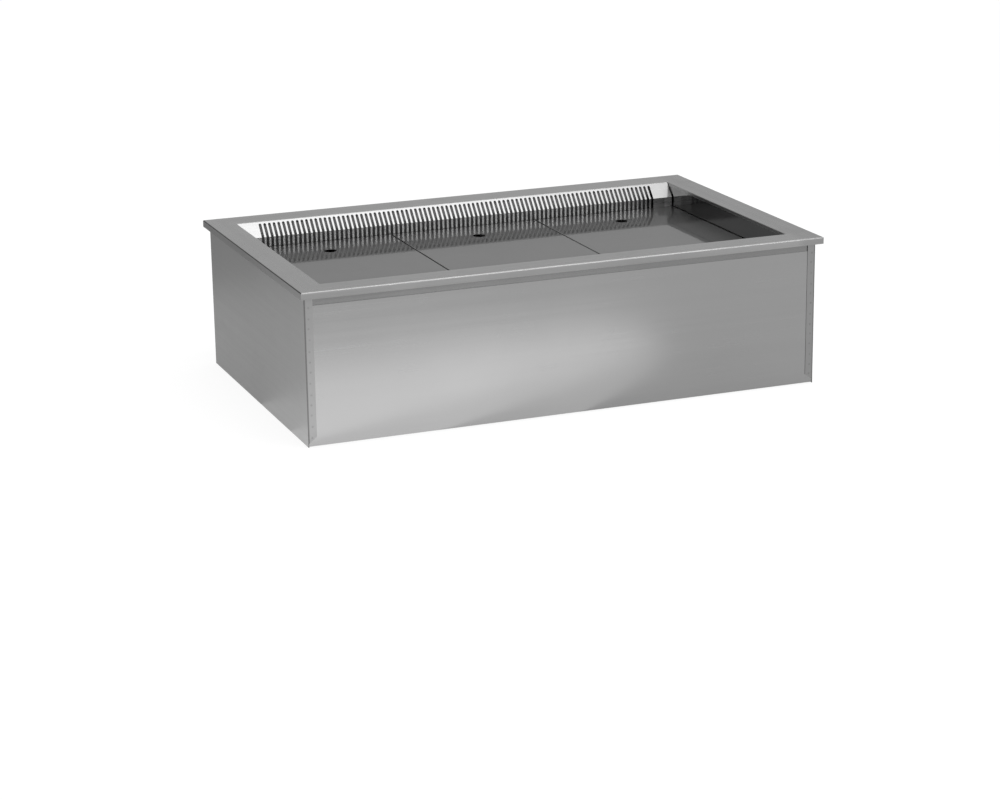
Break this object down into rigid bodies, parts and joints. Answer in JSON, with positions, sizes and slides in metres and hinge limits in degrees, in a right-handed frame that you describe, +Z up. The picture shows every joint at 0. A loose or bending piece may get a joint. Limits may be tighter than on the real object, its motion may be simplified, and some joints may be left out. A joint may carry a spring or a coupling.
{
  "type": "drop-in food well",
  "caption": "Ventilated cold food well for a worktop cut-out: flat rim, boxed steel casing, lift-out base plates over fans and evaporator, bent slotted air grille at the rear.",
  "frame": {"origin": "centre of the overall box at the casing's bottom", "axes": "+X along the well to the right, +Y towards the rear air grille, +Z up"},
  "size_m": [1.1, 0.68, 0.308],
  "materials": {
    "rim_steel": "brushed",
    "panel_steel": "satin",
    "tank_steel": "satin",
    "plate_steel": "polished",
    "grille_steel": "satin",
    "bracket_steel": "satin",
    "seal_rubber": "matte",
    "foam": "matte",
    "fan_housing": "matte",
    "impeller": "satin",
    "fin_metal": "satin",
    "pipe_copper": "satin",
    "valve_brass": "satin",
    "box_plastic": "matte",
    "conduit_plastic": "matte",
    "probe_steel": "polished"
  },
  "bodies": {
    "well": {"rim_frame": "rim_steel", "rim_seal": "seal_rubber", "collar_frame": "panel_steel", "casing_wrap": "panel_steel", "side_panel_right": "panel_steel", "side_panel_left": "panel_steel", "insulation": "foam", "tank_liner": "tank_steel", "drain_outlet": "tank_steel", "return_grille": "tank_steel", "plate_bearer_left": "bracket_steel", "plate_bearer_right": "bracket_steel", "cover_ledge_right": "bracket_steel", "cover_ledge_left": "bracket_steel", "fan_plate": "tank_steel", "coil_cover": "tank_steel", "fan_frame_left": "fan_housing", "fan_frame_right": "fan_housing", "fan_guard_left": "bracket_steel", "fan_guard_right": "bracket_steel", "evaporator_fins": "fin_metal", "evaporator_tubes": "pipe_copper", "evaporator_end_right": "fin_metal", "evaporator_end_left": "fin_metal", "expansion_valve": "valve_brass", "liquid_line": "pipe_copper", "suction_line": "pipe_copper", "pipe_plug": "seal_rubber", "junction_box": "box_plastic", "junction_box_lid": "box_plastic", "cable_conduit": "conduit_plastic", "cable_grommet": "seal_rubber", "temperature_probe": "probe_steel", "probe_clip": "bracket_steel"},
    "plate_left": {"base_plate_left": "plate_steel"},
    "plate_centre": {"base_plate_centre": "plate_steel"},
    "plate_right": {"base_plate_right": "plate_steel"},
    "grille": {"air_grille": "grille_steel"},
    "fan_left": {"fan_impeller_left": "impeller"},
    "fan_right": {"fan_impeller_right": "impeller"},
    "strainer": {"drain_strainer": "plate_steel"}
  },
  "joints": [
    {"name": "plate_left_lift", "type": "slide", "parent": "well", "child": "plate_left", "axis": [0, 0, 1], "range_m": [0, 0.12]},
    {"name": "plate_centre_lift", "type": "slide", "parent": "well", "child": "plate_centre", "axis": [0, 0, 1], "range_m": [0, 0.12]},
    {"name": "plate_right_lift", "type": "slide", "parent": "well", "child": "plate_right", "axis": [0, 0, 1], "range_m": [0, 0.12]},
    {"name": "grille_lift", "type": "slide", "parent": "well", "child": "grille", "axis": [0, 0, 1], "range_m": [0, 0.12]},
    {"name": "strainer_lift", "type": "slide", "parent": "well", "child": "strainer", "axis": [0, 0, 1], "range_m": [0, 0.12]},
    {"name": "fan_left_spin", "type": "hinge", "parent": "well", "child": "fan_left", "pos_m": [-0.215, 0.0737, 0.1525], "axis": [0, 1, 0], "continuous": true},
    {"name": "fan_right_spin", "type": "hinge", "parent": "well", "child": "fan_right", "pos_m": [0.215, 0.0737, 0.1525], "axis": [0, 1, 0], "continuous": true}
  ]
}
